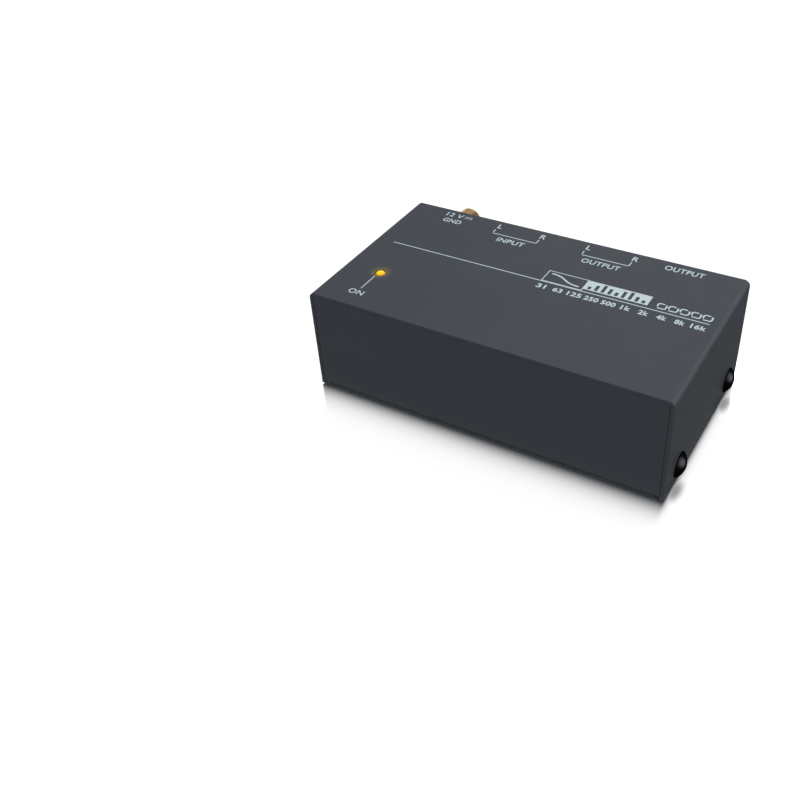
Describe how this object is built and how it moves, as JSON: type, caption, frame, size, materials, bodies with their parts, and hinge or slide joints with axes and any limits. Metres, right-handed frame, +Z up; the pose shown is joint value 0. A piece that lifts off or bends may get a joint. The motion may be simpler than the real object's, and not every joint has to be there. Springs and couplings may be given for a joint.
{
  "type": "phono preamplifier",
  "caption": "Small sheet-steel box with phono sockets, a stereo jack, a power jack and a thumb-screw ground terminal on its back and a power light on top.",
  "frame": {"origin": "on the surface that the feet stand on, midway along the whole device, sockets and screw heads included", "axes": "+X to the right seen from the front, +Y to the connectors at the back, +Z up"},
  "size_m": [0.1068, 0.0664, 0.0319],
  "materials": {
    "case_coat": "fine satin powder coat, dark grey",
    "black_steel": "black oxide with a light oil sheen",
    "zinc_steel": "bright zinc plate",
    "nickel": "bright nickel plate",
    "contact_metal": "tinned spring bronze",
    "brass": "satin turned brass",
    "red_plastic": "moulded, semi-gloss",
    "white_plastic": "moulded, semi-gloss",
    "black_plastic": "moulded, fine texture",
    "foot_rubber": "matt self-adhesive rubber",
    "board_laminate": "green solder mask on glass laminate",
    "amber_lens": "tinted epoxy, lit",
    "chip_epoxy": "moulded epoxy",
    "can_sleeve": "shrunk sleeve",
    "film_box": "moulded box",
    "resistor_coat": "dipped coat",
    "print_ink": "pale screen-printed ink on the cover"
  },
  "bodies": {
    "case": {"base_tray": "case_coat", "board_screws": "zinc_steel", "board_standoffs": "zinc_steel", "circuit_board": "board_laminate", "cover_screws": "black_steel", "film_capacitors": "film_box", "filter_capacitor": "can_sleeve", "foot_front_left": "foot_rubber", "foot_front_right": "foot_rubber", "foot_rear_left": "foot_rubber", "foot_rear_right": "foot_rubber", "ground_lug": "contact_metal", "ground_nut": "zinc_steel", "input_jack_block": "black_plastic", "input_left_contact": "contact_metal", "input_left_insulator": "white_plastic", "input_left_shell": "nickel", "input_right_contact": "contact_metal", "input_right_insulator": "red_plastic", "input_right_shell": "nickel", "jack_screws": "black_steel", "led_leads": "contact_metal", "led_lens": "amber_lens", "led_spacer": "black_plastic", "op_amp_left": "chip_epoxy", "op_amp_right": "chip_epoxy", "output_capacitor_left": "can_sleeve", "output_capacitor_right": "can_sleeve", "output_jack_block": "black_plastic", "output_left_contact": "contact_metal", "output_left_insulator": "white_plastic", "output_left_shell": "nickel", "output_right_contact": "contact_metal", "output_right_insulator": "red_plastic", "output_right_shell": "nickel", "polarity_diode": "chip_epoxy", "power_jack_body": "black_plastic", "power_jack_pin": "nickel", "power_jack_switch": "contact_metal", "resistors": "resistor_coat", "stereo_jack_body": "black_plastic", "stereo_jack_sleeve": "nickel", "supply_capacitor": "can_sleeve", "top_cover": "case_coat", "voltage_regulator": "chip_epoxy"},
    "ground_washer": {"ground_washer": "brass"},
    "ground_screw": {"ground_screw": "brass"},
    "tip_spring": {"stereo_jack_tip_spring": "contact_metal"},
    "ring_spring": {"stereo_jack_ring_spring": "contact_metal"},
    "power_spring": {"power_jack_spring": "contact_metal"}
  },
  "joints": [
    {"name": "ground_lift", "type": "slide", "parent": "case", "child": "ground_washer", "axis": [0, 1, 0], "range_m": [0, 0.003]},
    {"name": "ground_turn", "type": "hinge", "parent": "ground_washer", "child": "ground_screw", "pos_m": [-0.0373, 0.0238, 0.025], "axis": [0, 1, 0], "range_deg": [0, 2160]},
    {"name": "tip_spring_flex", "type": "hinge", "parent": "case", "child": "tip_spring", "pos_m": [0.0387, 0.0048, 0.0143], "axis": [0, 0, 1], "range_deg": [0, 5], "stiffness_Nm_per_rad": 0.1},
    {"name": "ring_spring_flex", "type": "hinge", "parent": "case", "child": "ring_spring", "pos_m": [0.0293, 0.0118, 0.0143], "axis": [0, 0, -1], "range_deg": [0, 5], "stiffness_Nm_per_rad": 0.1},
    {"name": "power_spring_flex", "type": "hinge", "parent": "case", "child": "power_spring", "pos_m": [-0.0373, 0.0117, 0.0093], "axis": [-1, 0, 0], "range_deg": [0, 5], "stiffness_Nm_per_rad": 0.1}
  ],
  "couplings": [
    {"joint": "ground_turn", "follows": "ground_lift", "rad_per_m": 12566}
  ]
}
